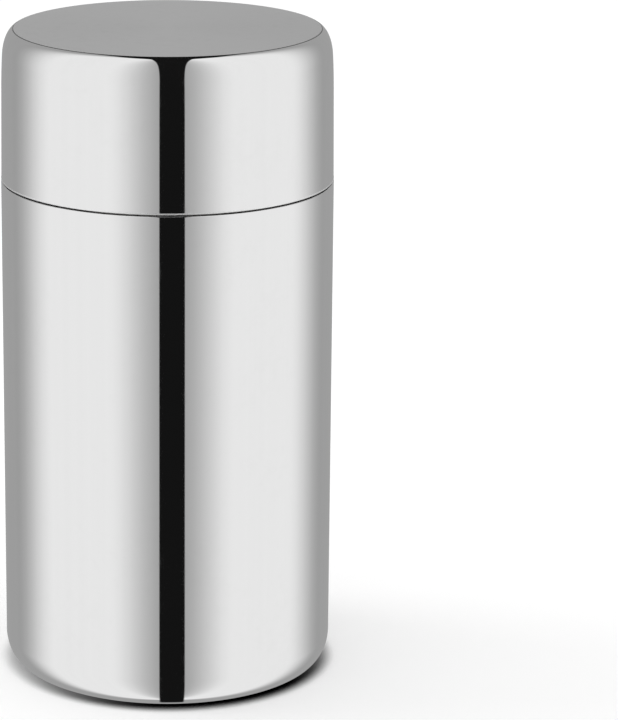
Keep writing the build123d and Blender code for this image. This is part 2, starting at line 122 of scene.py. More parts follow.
class NodeSheet:
    """Adds nodes to one shader tree and links them."""

    def __init__(self, tree: bpy.types.NodeTree) -> None:
        """Keep the tree that the nodes go into.

        Args:
            tree: a material's, a world's or a group's node tree.
        """
        self.tree = tree

    def add(self, kind: str, inputs: dict[Any, Any] | None = None, **settings: Any) -> bpy.types.Node:
        """Add one node.

        Args:
            kind: the node's type name, without its ShaderNode prefix where it has one.
            inputs: a value or a socket for each input, by name or by number.
            settings: properties of the node.

        Returns:
            The new node.
        """
        full = kind if kind.startswith("NodeGroup") else "ShaderNode" + kind
        node = self.tree.nodes.new(full)
        for name, value in settings.items():
            setattr(node, name, value)
        for key, value in (inputs or {}).items():
            self.feed(node.inputs[key], value)
        return node

    def feed(self, target: Socket, value: Any) -> None:
        """Link a socket to an input, or set the input's own value.

        Args:
            target: the input.
            value: a socket, a number or a colour.
        """
        if isinstance(value, bpy.types.NodeSocket):
            self.tree.links.new(value, target)
        else:
            target.default_value = value

    def maths(self, operation: str, *terms: Any) -> Socket:
        """Result of a Math node.

        Args:
            operation: the node's operation, such as ADD.
            terms: its inputs, each a socket or a number.

        Returns:
            The node's output.
        """
        return self.add("Math", dict(enumerate(terms)), operation=operation).outputs[0]

    def chain(self, operation: str, *terms: Any) -> Socket:
        """Result of one operation on several terms, from the first to the last.

        Args:
            operation: the operation, such as MULTIPLY.
            terms: each a socket or a number.

        Returns:
            The last node's output.
        """
        result = terms[0]
        for term in terms[1:]:
            result = self.maths(operation, result, term)
        return result

    def rest(self, value: Any) -> Socket:
        """What is left of 1 without the value."""
        return self.maths("SUBTRACT", 1.0, value)

    def mapped(self, value: Any, settings: dict[str, Any], **kind: Any) -> Socket:
        """Result of a Map Range node.

        Args:
            value: the value that it maps.
            settings: its other inputs, by name.
            kind: properties of the node.

        Returns:
            The mapped value.
        """
        return self.add("MapRange", {"Value": value, **settings}, **kind).outputs["Result"]

    def rise(self, value: Any, low: Any, high: Any) -> Socket:
        """Smooth step from 0 at low to 1 at high, for a low under the high or over it."""
        return self.mapped(value, {"From Min": low, "From Max": high}, interpolation_type="SMOOTHSTEP")

    def step(self, value: Any, band: Band) -> Socket:
        """Smooth step over a band."""
        return self.rise(value, band.start, band.full)

    def spread(self, value: Any, low: Any, high: Any) -> Socket:
        """Straight scale of a 0 to 1 value to the range from low to high."""
        return self.mapped(value, {"To Min": low, "To Max": high})

    def blend(self, factor: Any, first: Any, second: Any) -> Socket:
        """Mix of two colours.

        Args:
            factor: share of the second colour.
            first: a colour or a socket.
            second: a colour or a socket.

        Returns:
            The mixed colour.
        """
        node = self.add("Mix", data_type="RGBA")
        for index, value in zip(MIX_COLOURS, (factor, first, second)):
            plain = not isinstance(value, bpy.types.NodeSocket)
            self.feed(node.inputs[index], (*value, 1.0) if plain and index else value)
        return node.outputs[2]

    def mixed(self, share: Any, first: Any, second: Any) -> Socket:
        """Number between two others: the first at a share of 0, the second at 1."""
        return self.add("Mix", dict(zip(MIX_NUMBERS, (share, first, second))), data_type="FLOAT").outputs[0]

    def noise(self, vector: Any, scale: Any, octaves: Octaves = Octaves()) -> Socket:
        """Value of a noise texture, between 0 and 1.

        Args:
            vector: where it is read.
            scale: its scale per unit of the vector.
            octaves: its layers.

        Returns:
            The noise's value.
        """
        inputs = {"Vector": vector, "Scale": scale, "Detail": octaves.count, "Roughness": octaves.finer}
        return self.add("TexNoise", inputs).outputs[0]

    def place(self) -> Socket:
        """Place on the object, in its own metres."""
        return self.add("TexCoord").outputs["Object"]

    def split(self, vector: Any) -> Sequence[Socket]:
        """The three parts of a vector."""
        return self.add("SeparateXYZ", {0: vector}).outputs


class Effect:
    """A shader node group with named inputs and one named output, shared by several finishes."""

    def __init__(self, name: str, inputs: dict[str, float], output: str,
                 draw: Callable[[NodeSheet, dict[str, Socket]], Socket]) -> None:
        """Build the group once.

        Args:
            name: the group's name.
            inputs: the name and the usual value of each input.
            output: the name of the value that it puts out.
            draw: draws the group's nodes and returns that value.
        """
        self.group = bpy.data.node_groups.new(name, "ShaderNodeTree")
        face = self.group.interface
        for label, usual in inputs.items():
            face.new_socket(name=label, in_out="INPUT", socket_type="NodeSocketFloat").default_value = usual
        face.new_socket(name=output, in_out="OUTPUT", socket_type="NodeSocketFloat")
        sheet = NodeSheet(self.group)
        entry = sheet.add("NodeGroupInput").outputs
        result = draw(sheet, {label: entry[label] for label in inputs})
        sheet.add("NodeGroupOutput", {output: result})

    def place(self, sheet: NodeSheet, **values: float) -> Socket:
        """Put the group into a material.

        Args:
            sheet: the material's nodes.
            values: the inputs' values, with spaces in their names written as underscores.

        Returns:
            The group's output.
        """
        inputs = {name.replace("_", " ").capitalize(): value for name, value in values.items()}
        return sheet.add("Group", inputs, node_tree=self.group).outputs[0]


COARSE_LINES, FINE_LINES = Octaves(3.0, 0.65), Octaves()
COARSE_SHARE, FINE_SHARE, FINE_SCALE = 0.65, 0.35, 5.0


def draw_turning(sheet: NodeSheet, entry: dict[str, Socket]) -> Socket:
    """Fine lines that run round the axis, as a spun or turned surface has them.

    Args:
        sheet: the group's nodes.
        entry: the group's inputs.

    Returns:
        The lines' height.
    """
    parts = sheet.split(sheet.place())
    radius = sheet.maths("SQRT", sheet.maths("ADD", sheet.maths("POWER", parts[0], 2.0),
                                             sheet.maths("POWER", parts[1], 2.0)))
    around = sheet.maths("MULTIPLY", sheet.maths("ARCTAN2", parts[1], parts[0]), entry["Drift"])
    vector = sheet.add("CombineXYZ", {0: radius, 1: parts[2], 2: around}).outputs[0]
    coarse = sheet.noise(vector, entry["Lines per metre"], COARSE_LINES)
    fine = sheet.noise(vector, sheet.maths("MULTIPLY", entry["Lines per metre"], FINE_SCALE), FINE_LINES)
    return sheet.maths("ADD", sheet.maths("MULTIPLY", coarse, COARSE_SHARE),
                       sheet.maths("MULTIPLY", fine, FINE_SHARE))


CLOUDS, SPOTS = Octaves(4.0, 0.6), Octaves(3.0, 0.7)
SPOT_SCALE = 7.0
MARK_EDGE = 0.18


def draw_handling(sheet: NodeSheet, entry: dict[str, Socket]) -> Socket:
    """Faint cloudy marks left by hands and cloths.

    Args:
        sheet: the group's nodes.
        entry: the group's inputs.

    Returns:
        The marks' mask.
    """
    place = sheet.place()
    cloud = sheet.noise(place, entry["Scale"], CLOUDS)
    spots = sheet.noise(place, sheet.maths("MULTIPLY", entry["Scale"], SPOT_SCALE), SPOTS)
    low = sheet.rest(entry["Cover"])
    mean = sheet.maths("DIVIDE", sheet.maths("ADD", cloud, spots), 2.0)
    return sheet.rise(mean, low, sheet.maths("ADD", low, MARK_EDGE))


BROKEN_EDGE = Octaves(3.0, 0.6)
BROKEN_SCALE, BROKEN_DEPTH = 900.0, 0.03
WEAR_EDGE = 0.08


def draw_edge_wear(sheet: NodeSheet, entry: dict[str, Socket]) -> Socket:
    """Rubbed places along outside edges, broken up by noise.

    Args:
        sheet: the group's nodes.
        entry: the group's inputs.

    Returns:
        The wear's mask.
    """
    sharp = sheet.add("NewGeometry").outputs["Pointiness"]
    broken = sheet.noise(sheet.place(), BROKEN_SCALE, BROKEN_EDGE)
    level = sheet.maths("ADD", sharp, sheet.spread(broken, -BROKEN_DEPTH, BROKEN_DEPTH))
    high = sheet.maths("ADD", entry["Start"], WEAR_EDGE)
    return sheet.maths("MULTIPLY", sheet.rise(level, entry["Start"], high), entry["Amount"])


DUST_PATCHES = Octaves(5.0, 0.7)
DUST_SCALE = 220.0
DUST_COVER, DUST_FACING = Band(0.45, 0.75), Band(0.4, 1.0)


def draw_dust(sheet: NodeSheet, entry: dict[str, Socket]) -> Socket:
    """Thin dust that settles on faces that look up.

    Args:
        sheet: the group's nodes.
        entry: the group's inputs.

    Returns:
        The dust's mask.
    """
    up = sheet.split(sheet.add("NewGeometry").outputs["True Normal"])[2]
    patches = sheet.step(sheet.noise(sheet.place(), DUST_SCALE, DUST_PATCHES), DUST_COVER)
    return sheet.chain("MULTIPLY", patches, sheet.step(up, DUST_FACING), entry["Amount"])


HAZE = Octaves(4.0, 0.65)
CELL_SHARE, HAZE_SCALE = 0.5, 0.4


def draw_grain(sheet: NodeSheet, entry: dict[str, Socket]) -> Socket:
    """Fine grain of a moulded surface.

    Args:
        sheet: the group's nodes.
        entry: the group's inputs.

    Returns:
        The grain's height.
    """
    place = sheet.place()
    cells = sheet.add("TexVoronoi", {"Vector": place, "Scale": entry["Scale"]}).outputs["Distance"]
    haze = sheet.noise(place, sheet.maths("MULTIPLY", entry["Scale"], HAZE_SCALE), HAZE)
    return sheet.maths("ADD", sheet.maths("MULTIPLY", cells, CELL_SHARE), haze)


@dataclass(frozen=True)
class Effects:
    """The shared shader effects."""

    turning: Effect
    handling: Effect
    edge_wear: Effect
    dust: Effect
    grain: Effect

    @staticmethod
    def build() -> "Effects":
        """Build every effect once.

        Returns:
            The set of effects.
        """
        return Effects(
            turning=Effect("turning_lines", {"Lines per metre": 9000.0, "Drift": 0.0004}, "Height",
                           draw_turning),
            handling=Effect("handling_marks", {"Scale": 40.0, "Cover": 0.5}, "Mask", draw_handling),
            edge_wear=Effect("edge_wear", {"Start": 0.53, "Amount": 1.0}, "Mask", draw_edge_wear),
            dust=Effect("settled_dust", {"Amount": 0.2}, "Mask", draw_dust),
            grain=Effect("moulded_grain", {"Scale": 4000.0}, "Height", draw_grain),
        )


def new_material(name: str) -> tuple[bpy.types.Material, NodeSheet, bpy.types.Node]:
    """Start a material that holds only a Principled shader.

    Args:
        name: the material's name.

    Returns:
        The material, its nodes and the shader.
    """
    material = bpy.data.materials.new(name)
    material.use_nodes = True
    material.node_tree.nodes.clear()
    sheet = NodeSheet(material.node_tree)
    shader = sheet.add("BsdfPrincipled")
    sheet.add("OutputMaterial", {"Surface": shader.outputs[0]})
    return material, sheet, shader


def bevelled(sheet: NodeSheet, radius: float) -> Socket:
    """Normal that rounds the edges over a radius."""
    return sheet.add("Bevel", {"Radius": radius}, samples=BEVEL_RAYS).outputs[0]


def bump(sheet: NodeSheet, height: Any, distance: float, normal: Socket | None = None) -> Socket:
    """Normal of a bumped surface.

    Args:
        sheet: the material's nodes.
        height: the height, about 0 to 1.
        distance: how far 1 stands out, in metres.
        normal: a normal that it starts from, if any.

    Returns:
        The bumped normal.
    """
    inputs = {"Height": height, "Distance": distance, "Strength": 1.0}
    if normal is not None:
        inputs["Normal"] = normal
    return sheet.add("Bump", inputs).outputs[0]


@dataclass(frozen=True)
class Steel:
    """Stainless steel with lines round the axis, handling marks and rubbed edges."""

    name: str
    colour: Colour
    marked: Colour
    roughness: float
    mark_roughness: float
    lines_per_metre: float
    line_depth: float = 0.0
    line_share: float = 1.0
    wave_depth: float = 0.0
    wave_scale: float = 26.0
    waves: Octaves = Octaves(1.0)
    edge_radius: float = 0.0
    spun: float = 0.0
    metal: float = 1.0
    wear: float = 0.0
    wear_start: float = 0.54
    worn: Colour = (0.93, 0.93, 0.92)
    mark_scale: float = 34.0
    mark_cover: float = 0.52
    mark_share: float = 0.35
    least_roughness: float = 0.012

    def material(self, effects: Effects) -> bpy.types.Material:
        """Build the finish.

        Args:
            effects: the shared effects.

        Returns:
            The material.
        """
        material, sheet, shader = new_material(self.name)
        lines = effects.turning.place(sheet, lines_per_metre=self.lines_per_metre)
        marks = effects.handling.place(sheet, scale=self.mark_scale, cover=self.mark_cover)
        colour = sheet.blend(sheet.maths("MULTIPLY", marks, self.mark_share), self.colour, self.marked)
        if self.wear:
            wear = effects.edge_wear.place(sheet, start=self.wear_start, amount=self.wear)
            colour = sheet.blend(wear, colour, self.worn)
        sheet.feed(shader.inputs["Base Color"], colour)
        uneven = sheet.maths("MULTIPLY", sheet.maths("SUBTRACT", lines, MIDDLE),
                             self.roughness * self.line_share)
        rough = sheet.maths("ADD", sheet.spread(marks, self.roughness, self.mark_roughness), uneven)
        sheet.feed(shader.inputs["Roughness"], sheet.maths("MAXIMUM", rough, self.least_roughness))
        shader.inputs["Metallic"].default_value = self.metal
        if self.spun:
            shader.inputs["Anisotropic"].default_value = self.spun
            around = sheet.add("Tangent", direction_type="RADIAL", axis="Z").outputs[0]
            sheet.feed(shader.inputs["Tangent"], around)
        normal = self.normal(sheet, lines)
        if normal is not None:
            sheet.feed(shader.inputs["Normal"], normal)
        return material

    def normal(self, sheet: NodeSheet, lines: Socket) -> Socket | None:
        """Normal with rounded edges, gentle waves and fine lines, as far as the finish has them.

        Args:
            sheet: the material's nodes.
            lines: the height of the lines.

        Returns:
            The normal, or None where the surface is plain.
        """
        normal = bevelled(sheet, self.edge_radius) if self.edge_radius else None
        if self.wave_depth:
            waves = sheet.noise(sheet.place(), self.wave_scale, self.waves)
            normal = bump(sheet, waves, self.wave_depth, normal)
        if self.line_depth:
            normal = bump(sheet, lines, self.line_depth, normal)
        return normal


@dataclass(frozen=True)
class Silicone:
    """Pale, slightly cloudy silicone rubber with a soft sheen and a little dust."""

    name: str
    colour: Colour
    deep: Colour
    dusty: Colour = (0.62, 0.60, 0.56)
    dust: float = 0.25
    grain_scale: float = 5200.0
    grain_depth: float = 0.006 * MM
    mark_scale: float = 60.0
    mark_cover: float = 0.55
    mark_share: float = 0.6
    roughness: float = 0.38
    mark_roughness: float = 0.52
    scatter: float = 0.35
    scatter_depth: Colour = (1.2 * MM, 1.2 * MM, 1.1 * MM)
    sheen: float = 0.15
    sheen_roughness: float = 0.4

    def material(self, effects: Effects) -> bpy.types.Material:
        """Build the finish.

        Args:
            effects: the shared effects.

        Returns:
            The material.
        """
        material, sheet, shader = new_material(self.name)
        grain = effects.grain.place(sheet, scale=self.grain_scale)
        marks = effects.handling.place(sheet, scale=self.mark_scale, cover=self.mark_cover)
        dust = effects.dust.place(sheet, amount=self.dust)
        colour = sheet.blend(sheet.maths("MULTIPLY", marks, self.mark_share), self.colour, self.deep)
        sheet.feed(shader.inputs["Base Color"], sheet.blend(dust, colour, self.dusty))
        sheet.feed(shader.inputs["Roughness"], sheet.spread(marks, self.roughness, self.mark_roughness))
        shader.inputs["Subsurface Weight"].default_value = self.scatter
        shader.inputs["Subsurface Radius"].default_value = self.scatter_depth
        shader.inputs["Subsurface Scale"].default_value = 1.0
        shader.inputs["Sheen Weight"].default_value = self.sheen
        shader.inputs["Sheen Roughness"].default_value = self.sheen_roughness
        sheet.feed(shader.inputs["Normal"], bump(sheet, grain, self.grain_depth))
        return material


@dataclass(frozen=True)
class Plastic:
    """Moulded plastic with a fine grain, rubbed edges and a little dust."""

    name: str
    colour: Colour
    worn: Colour
    edge_radius: float
    dusty: Colour = (0.35, 0.34, 0.32)
    dust: float = 0.12
    grain_scale: float = 3600.0
    grain_depth: float = 0.01 * MM
    mark_scale: float = 50.0
    mark_cover: float = 0.5
    wear: float = 0.5
    wear_start: float = 0.53
    roughness: float = 0.34
    mark_roughness: float = 0.5

    def material(self, effects: Effects) -> bpy.types.Material:
        """Build the finish.

        Args:
            effects: the shared effects.

        Returns:
            The material.
        """
        material, sheet, shader = new_material(self.name)
        grain = effects.grain.place(sheet, scale=self.grain_scale)
        marks = effects.handling.place(sheet, scale=self.mark_scale, cover=self.mark_cover)
        wear = effects.edge_wear.place(sheet, start=self.wear_start, amount=self.wear)
        dust = effects.dust.place(sheet, amount=self.dust)
        colour = sheet.blend(wear, self.colour, self.worn)
        sheet.feed(shader.inputs["Base Color"], sheet.blend(dust, colour, self.dusty))
        sheet.feed(shader.inputs["Roughness"], sheet.spread(marks, self.roughness, self.mark_roughness))
        rounded = bevelled(sheet, self.edge_radius)
        sheet.feed(shader.inputs["Normal"], bump(sheet, grain, self.grain_depth, rounded))
        return material


FINISHES = {
    Slot.POLISHED: Steel(
        "mirror_polished_steel", (0.90, 0.90, 0.90), (0.87, 0.87, 0.868), roughness=0.028,
        mark_roughness=0.05, lines_per_metre=5200.0, line_depth=0.00012 * MM, wave_depth=0.004 * MM),
    Slot.SATIN: Steel(
        "satin_drawn_steel", (0.74, 0.74, 0.73), (0.66, 0.66, 0.65), roughness=0.30, mark_roughness=0.36,
        lines_per_metre=9000.0, line_depth=0.0035 * MM, wave_depth=0.006 * MM, metal=0.72, wear=0.6),
    Slot.TURNED: Steel(
        "turned_steel", (0.72, 0.72, 0.71), (0.62, 0.62, 0.61), roughness=0.15, mark_roughness=0.24,
        lines_per_metre=12000.0, line_depth=0.0015 * MM, wave_depth=0.004 * MM, edge_radius=0.12 * MM,
        wear=0.6),
    Slot.SILICONE: Silicone("pale_silicone", (0.74, 0.74, 0.72), (0.62, 0.62, 0.60)),
    Slot.PLASTIC: Plastic("charcoal_plastic", (0.040, 0.040, 0.044), (0.12, 0.12, 0.125), 0.18 * MM),
}

TOUCHES = {
    # Rubbed rim: rougher steel whose brighter colour is partly a painted highlight along the lid's bead.
    Touch.RUBBED_RIM_HIGHLIGHT: Steel(
        Touch.RUBBED_RIM_HIGHLIGHT.value, (0.95, 0.95, 0.95), (0.88, 0.88, 0.875), roughness=0.42, mark_roughness=0.5,
        lines_per_metre=7000.0, line_depth=0.0004 * MM, wave_depth=0.002 * MM),
    # Painted shade: dark steel on the lid's crease rounding stands in for the dark that the polished crease
    # reflects.
    Touch.PAINTED_CREASE_SHADE: Steel(
        Touch.PAINTED_CREASE_SHADE.value, (0.16, 0.16, 0.16), (0.12, 0.12, 0.12), roughness=0.08, mark_roughness=0.14,
        lines_per_metre=5200.0, line_depth=0.0001 * MM, wave_depth=0.002 * MM),
    Touch.TOP: Steel(
        Touch.TOP.value, (0.55, 0.55, 0.55), (0.51, 0.51, 0.508), roughness=0.42, mark_roughness=0.46,
        lines_per_metre=2600.0, line_share=0.22, spun=0.3, metal=0.5),
}


def circular_bend(before: Point, corner: Point, after: Point, radius: float, steps: int) -> list[Point]:
    """Points of the arc that rounds one corner of an outline.

    Args:
        before: the point before the corner.
        corner: the corner.
        after: the point after it.
        radius: the arc's radius, or 0 for a sharp corner.
        steps: the number of stretches in the arc.

    Returns:
        The arc's points, or the corner alone.
    """
    if not radius:
        return [corner]
    spot = Vector(corner)
    back, ahead = (Vector(before) - spot).normalized(), (Vector(after) - spot).normalized()
    half = back.angle(ahead) / 2
    middle = spot + (back + ahead).normalized() * radius / math.sin(half)
    start = spot + back * radius / math.tan(half) - middle
    sweep = -start.angle_signed(spot + ahead * radius / math.tan(half) - middle)
    points = []
    for step in range(steps + 1):
        angle = sweep * step / steps
        turned = (start.x * math.cos(angle) - start.y * math.sin(angle),
                  start.x * math.sin(angle) + start.y * math.cos(angle))
        points.append((middle.x + turned[0], middle.y + turned[1]))
    return points


def outline(corners: Sequence[tuple[float, ...]], steps: int) -> list[Point]:
    """Closed half section from its corners.

    Args:
        corners: each corner's radius and height, and its rounding if it has one.
        steps: the number of stretches in each rounding.

    Returns:
        The section's points, as radius and height.
    """
    points = []
    for index, corner in enumerate(corners):
        before, after = corners[index - 1][:2], corners[(index + 1) % len(corners)][:2]
        rounding = corner[2] if len(corner) > 2 else 0.0
        points += circular_bend(before, corner[:2], after, rounding, steps)
    return points


def with_supports(points: Sequence[Point]) -> list[Point]:
    """Outline with extra points near the ends of its long straight stretches, so that they shade flat.

    Args:
        points: the closed outline.

    Returns:
        The longer list of points.
    """
    longer = []
    for index, point in enumerate(points):
        start, end = Vector(point), Vector(points[(index + 1) % len(points)])
        longer.append(point)
        length = (end - start).length
        if length > SUPPORT_REACH * SUPPORT_MARGIN:
            ahead = (end - start) / length
            longer += [tuple(start + ahead * SUPPORT_MARGIN), tuple(end - ahead * SUPPORT_MARGIN)]
    return longer


def lathe(name: str, points: Sequence[Point]) -> bpy.types.Object:
    """Closed solid of revolution about the axis.

    Args:
        name: the piece's name.
        points: its closed half section, as radius and height.

    Returns:
        The new object.
    """
    vertices: list[tuple[float, float, float]] = []
    rows: list[list[int]] = []
    for radius, height in with_supports(points):
        first = len(vertices)
        if radius < ON_AXIS:
            vertices.append((0.0, 0.0, height))
            rows.append([first] * AROUND)
            continue
        for step in range(AROUND):
            angle = FULL_TURN * step / AROUND
            vertices.append((radius * math.cos(angle), radius * math.sin(angle), height))
        rows.append(list(range(first, first + AROUND)))
    faces = []
    for index, row in enumerate(rows):
        above = rows[(index + 1) % len(rows)]
        for near in range(AROUND):
            far = (near + 1) % AROUND
            face = list(dict.fromkeys([row[near], row[far], above[far], above[near]]))
            if len(face) > 2:
                faces.append(face)
    return mesh_object(name, vertices, faces)


def mesh_object(name: str, vertices: Sequence[Any], faces: Sequence[Sequence[int]]) -> bpy.types.Object:
    """Object from vertices and faces, smooth but for its sharp edges.

    Args:
        name: the piece's name.
        vertices: places in metres.
        faces: lists of vertex numbers.

    Returns:
        The new object, with its faces turned outward.
    """
    mesh = bpy.data.meshes.new(name)
    mesh.from_pydata([tuple(v) for v in vertices], [], [list(f) for f in faces])
    mesh.update()
    thing = bpy.data.objects.new(name, mesh)
    bpy.context.scene.collection.objects.link(thing)
    orient_outward(mesh)
    mesh.shade_smooth()
    mesh.set_sharp_from_angle(angle=math.radians(SHARP_DEGREES))
    return thing


def orient_outward(mesh: bpy.types.Mesh) -> None:
    """Flip every face of a closed mesh if its volume comes out negative.

    Args:
        mesh: a closed mesh whose faces agree with each other.
    """
    mesh.calc_loop_triangles()
    volume = 0.0
    for triangle in mesh.loop_triangles:
        first, second, third = (mesh.vertices[i].co for i in triangle.vertices)
        volume += first.dot(second.cross(third))
    if volume < 0:
        mesh.flip_normals()


class Dresser:
    """Gives pieces their finish, body and slot, and reports them."""

    def __init__(self, effects: Effects) -> None:
        """Build every finish.

        Args:
            effects: the shared effects.
        """
        self.materials = {slot: finish.material(effects) for slot, finish in FINISHES.items()}
        self.touches = {touch: finish.material(effects) for touch, finish in TOUCHES.items()}

    def cad(self, slot: Slot, *nodes: str) -> None:
        """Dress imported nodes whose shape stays.

        Args:
            slot: their finish.
            nodes: their names.
        """
        for name in nodes:
            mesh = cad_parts[name].data
            mesh.materials.clear()
            mesh.materials.append(self.materials[slot])
            LOG.info("dressed node %s as %s", name, slot.value)

    def faces(self, thing: bpy.types.Object, touch: Touch, chosen: Callable[[Vector], bool]) -> None:
        """Give some faces of a dressed piece another finish.

        Args:
            thing: the piece.
            touch: the finish.
            chosen: tells from a face's centre whether it gets the finish.
        """
        thing.data.materials.append(self.touches[touch])
        index = len(thing.data.materials) - 1
        for face in thing.data.polygons:
            if chosen(face.center):
                face.material_index = index

    def piece(self, thing: bpy.types.Object, slot: Slot, body: Body | None, *nodes: str) -> bpy.types.Object:
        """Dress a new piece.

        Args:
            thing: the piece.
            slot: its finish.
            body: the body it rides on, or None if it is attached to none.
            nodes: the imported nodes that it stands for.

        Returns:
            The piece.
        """
        thing.data.materials.clear()
        thing.data.materials.append(self.materials[slot])
        if body is not None:
            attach(thing, body.value)
        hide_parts(*nodes)
        LOG.info("made piece %s for %s", thing.name, ", ".join(nodes))
        return thing


@dataclass
class Canister:
    """The double-walled body: mirror-polished shell, satin liner and collar band."""

    wall: float = 0.8 * MM
    foot_run: float = 6.0 * MM
    foot_rise: float = 8.7 * MM
    foot_steps: int = 56
    edge_rounding: float = 0.35 * MM
    flange_rounding: float = 0.175 * MM
    ring_width: float = 4.7 * MM
    recess_depth: float = 1.6 * MM
    recess_slope: float = 2.0 * MM
    recess_bend: float = 1.2 * MM
    flange_width: float = 2.95 * MM
    bend_steps: int = 24

    def foot(self, radius: float, low: float) -> list[Point]:
        """Rounded foot of the wall, taller than it is deep.

        Args:
            radius: the wall's radius.
            low: the height of its base.

        Returns:
            The arc's points, from the base up to the wall.
        """
        points = []
        for step in range(self.foot_steps + 1):
            angle = math.pi / 2 * step / self.foot_steps
            points.append((radius - self.foot_run * (1 - math.sin(angle)),
                           low + self.foot_rise * (1 - math.cos(angle))))
        return points

    def shell(self) -> bpy.types.Object:
        """Build the shell's mesh.

        Returns:
            The shell.
        """
        low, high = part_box("outer_shell")
        radius = high.x
        ring = radius - self.foot_run - self.ring_width
        panel = ring - self.recess_slope
        flange = radius - self.flange_width
        corners = [
            (0.0, low.z + self.recess_depth),
            (panel, low.z + self.recess_depth, self.recess_bend),
            (ring, low.z, self.recess_bend),
            *self.foot(radius, low.z),
            (radius, high.z, self.edge_rounding),
            (flange, high.z, self.flange_rounding),
            (flange, high.z - self.wall),
            (radius - self.wall, high.z - self.wall),
            *reversed(self.foot(radius - self.wall, low.z + self.wall)),
            (ring, low.z + self.wall),
            (panel, low.z + self.recess_depth + self.wall),
            (0.0, low.z + self.recess_depth + self.wall),
        ]
        return lathe("body_shell", outline(corners, self.bend_steps))

    def build(self, dresser: Dresser) -> None:
        """Make and dress the body's pieces.

        Args:
            dresser: gives the finishes.
        """
        dresser.piece(self.shell(), Slot.POLISHED, Body.CANISTER, "outer_shell")
        dresser.cad(Slot.SATIN, "inner_liner")
        dresser.cad(Slot.SILICONE, "collar_band")


@dataclass
class OuterLid:
    """The deep slip lid: mirror-polished shell over a thin satin cup."""

    wall: float = 0.7 * MM
    body_radius: float = 48.0 * MM
    draft: float = 0.48 * MM
    draft_height: float = 36.4 * MM
    rim_rounding: float = 0.26 * MM
    rim_steps: int = 14
    rim_lift: float = 0.16 * MM
    bead_height: float = 0.64 * MM
    bead_slope: float = 0.16 * MM
    bead_inset: float = 0.07 * MM
    lead_height: float = 9.2 * MM
    lead_inset: float = 0.2 * MM
    lead_steps: int = 24
    shoulder_height: float = 7.4 * MM
    shoulder_run: float = 3.4 * MM
    shoulder_stretch: float = 2.14
    shoulder_steps: int = 64
    inside_share: float = 0.96
    crease_slope: float = 2.3
    crease_rounding: float = 0.55 * MM
    crease_steps: int = 12
    crease_clearance: float = 1.2
    crease_depth: float = 0.13 * MM
    top_tolerance: float = 0.001 * MM
    hem_radius: float = 46.12 * MM

    def lead(self, low: float, start: float) -> list[Point]:
        """Gently curved top of the wall, under the shoulder.

        Args:
            low: the height of the lid's rim.
            start: the height where the shoulder starts.

        Returns:
            Its points, from the straight wall up to the shoulder's start.
        """
        points = []
        for step in range(self.lead_steps):
            share = step / self.lead_steps
            height = start + (share - 1) * self.lead_height
            straight = self.body_radius - self.draft * (height - low) / self.draft_height
            points.append((straight - self.lead_inset * share ** 2, height))
        return points

    def shoulder(self, top: float) -> list[Point]:
        """Arc of an ellipse from the lead up to the crease, flatter as it rises.

        Args:
            top: the lid's top height.

        Returns:
            The arc's points, from the lead up.
        """
        slope = self.draft / self.draft_height + 2 * self.lead_inset / self.lead_height
        first = math.atan(slope * self.shoulder_stretch)
        last = math.atan(self.crease_slope * self.shoulder_stretch)
        start = (self.body_radius - self.draft - self.lead_inset, top - self.shoulder_height)
        across = (self.shoulder_run - self.lead_inset) / (math.cos(first) - math.cos(last))
        along = self.shoulder_height / (math.sin(last) - math.sin(first))
        points = []
        for step in range(self.shoulder_steps + 1):
            angle = first + (last - first) * step / self.shoulder_steps
            points.append((start[0] + across * (math.cos(angle) - math.cos(first)),
                           start[1] + along * (math.sin(angle) - math.sin(first))))
        return points

    def inside(self, top: float) -> list[Point]:
        """Inner side of the shoulder, a wall's thickness in.

        Args:
            top: the lid's top height.

        Returns:
            Its points, from the wall up to the underside of the top.
        """
        run, rise = self.shoulder_run, self.shoulder_height
        start = (self.body_radius - self.draft - self.wall, top - rise)
        points = []
        for step in range(self.shoulder_steps + 1):
            share = step / self.shoulder_steps
            drop = 1 - math.sqrt(1 - (share * self.inside_share) ** 2)
            points.append((start[0] - run * drop, start[1] + (rise - self.wall) * share))
        return points

    def shell(self) -> bpy.types.Object:
        """Build the lid shell's mesh.

        Returns:
            The lid's shell.
        """
        low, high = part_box("lid_shell")
        outer = self.shoulder(high.z)
        lead = self.lead(low.z, high.z - self.shoulder_height)
        foot = low.z + self.rim_lift
        hem = foot + self.wall
        bead_top = low.z + self.bead_height
        bead = [(self.body_radius - self.bead_inset, bead_top),
                (self.body_radius, bead_top - self.bead_slope)]
        corner = Vector(outer[-1])
        crease = circular_bend(outer[-2], outer[-1], (0.0, high.z), self.crease_rounding, self.crease_steps)
        reach = (Vector(crease[0]) - corner).length * self.crease_clearance
        kept = [point for point in outer if (Vector(point) - corner).length > reach]
        rim = circular_bend(bead[1], (self.body_radius, foot), (self.hem_radius, foot), self.rim_rounding,
                            self.rim_steps)
        section = [(0.0, high.z), *reversed(crease), *reversed(kept), *reversed(lead), *bead, *rim,
                   (self.hem_radius, foot), (self.hem_radius, hem), (self.body_radius - self.wall, hem),
                   *self.inside(high.z), (0.0, high.z - self.wall)]
        return lathe("lid_cover", section)

    def build(self, dresser: Dresser) -> None:
        """Make and dress the lid's pieces.

        Args:
            dresser: gives the finishes.
        """
        shell = dresser.piece(self.shell(), Slot.POLISHED, Body.OUTER_LID, "lid_shell")
        low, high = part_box("lid_shell")
        rim = low.z + self.bead_height
        crease, top = high.z - self.crease_depth, high.z - self.top_tolerance
        # The rim's faces get the rougher steel with its partly painted highlight.
        dresser.faces(shell, Touch.RUBBED_RIM_HIGHLIGHT, lambda spot: spot.z < rim)
        # The crease rounding's faces get the painted-shade dark line.
        dresser.faces(shell, Touch.PAINTED_CREASE_SHADE, lambda spot: crease < spot.z < top)
        dresser.faces(shell, Touch.TOP, lambda spot: spot.z > top)
        dresser.cad(Slot.SATIN, "lid_inner_cup")


